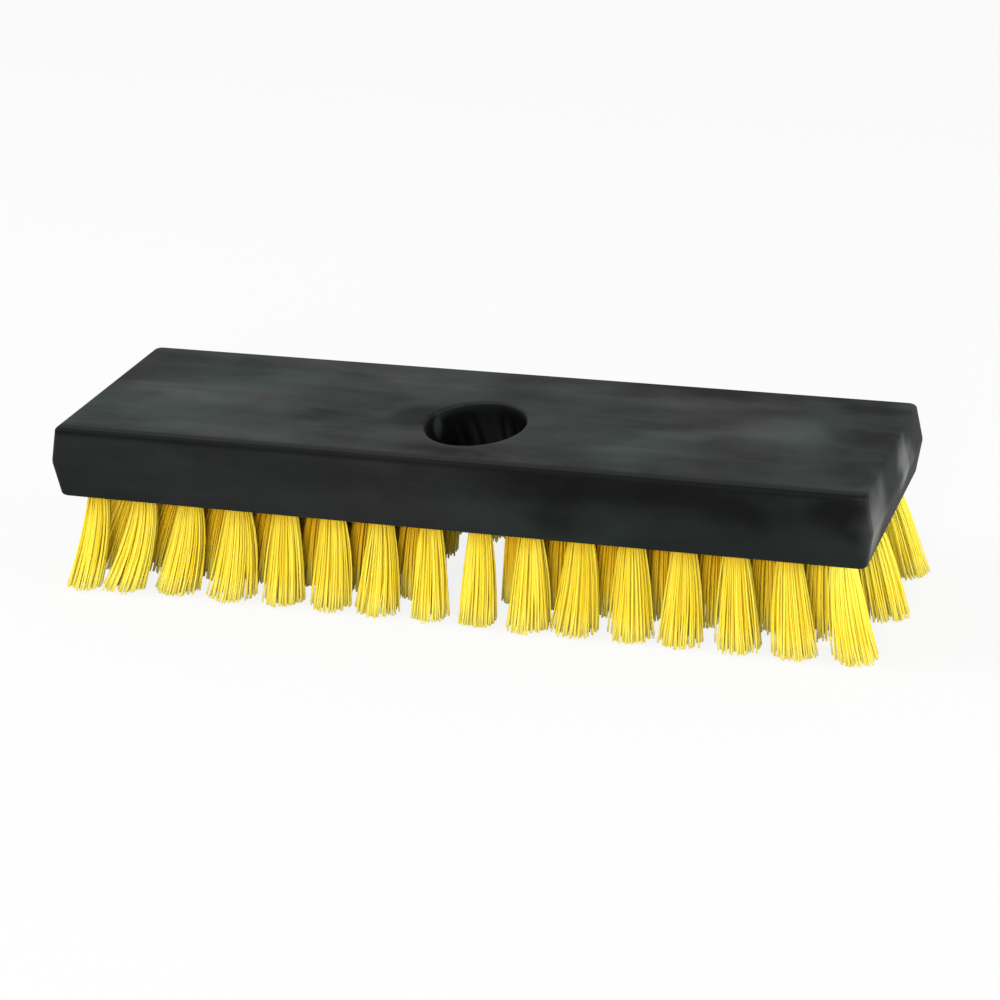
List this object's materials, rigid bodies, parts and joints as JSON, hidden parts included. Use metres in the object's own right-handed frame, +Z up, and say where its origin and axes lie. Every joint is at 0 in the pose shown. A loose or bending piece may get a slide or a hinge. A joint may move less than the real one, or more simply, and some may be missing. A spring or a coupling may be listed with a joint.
{
  "type": "deck brush",
  "caption": "Deck scrub brush head: moulded plastic block with a leaning tapered handle socket and flared tufts of stiff yellow bristle.",
  "frame": {"origin": "on the floor plane that the bristle tips stand on, under the middle of the head", "axes": "+X along the block's length, +Y across it, away from the side that the handle leans to, +Z up"},
  "size_m": [0.2588, 0.0762, 0.054],
  "materials": {
    "black_plastic": "satin, with faint grey flow streaks of structural foam",
    "yellow_bristle": "semi-gloss extruded filament"
  },
  "bodies": {
    "root": {"block": "black_plastic", "tufts_c01": "yellow_bristle", "tufts_c02": "yellow_bristle", "tufts_c03": "yellow_bristle", "tufts_c04": "yellow_bristle", "tufts_c05": "yellow_bristle", "tufts_c06": "yellow_bristle", "tufts_c07": "yellow_bristle", "tufts_c08": "yellow_bristle", "tufts_c09": "yellow_bristle", "tufts_c10": "yellow_bristle", "tufts_c11": "yellow_bristle", "tufts_c12": "yellow_bristle", "tufts_c13": "yellow_bristle", "tufts_c14_front": "yellow_bristle", "tufts_c14_back": "yellow_bristle", "tufts_c15_front": "yellow_bristle", "tufts_c15_back": "yellow_bristle", "tufts_c17_front": "yellow_bristle", "tufts_c17_back": "yellow_bristle", "tufts_c18_front": "yellow_bristle", "tufts_c18_back": "yellow_bristle", "tufts_c19": "yellow_bristle", "tufts_c20": "yellow_bristle", "tufts_c21": "yellow_bristle", "tufts_c22": "yellow_bristle", "tufts_c23": "yellow_bristle", "tufts_c24": "yellow_bristle", "tufts_c25": "yellow_bristle", "tufts_c26": "yellow_bristle", "tufts_c27": "yellow_bristle", "tufts_c28": "yellow_bristle", "tufts_c29": "yellow_bristle", "tufts_c30": "yellow_bristle", "tufts_c31": "yellow_bristle"}
  },
  "joints": []
}
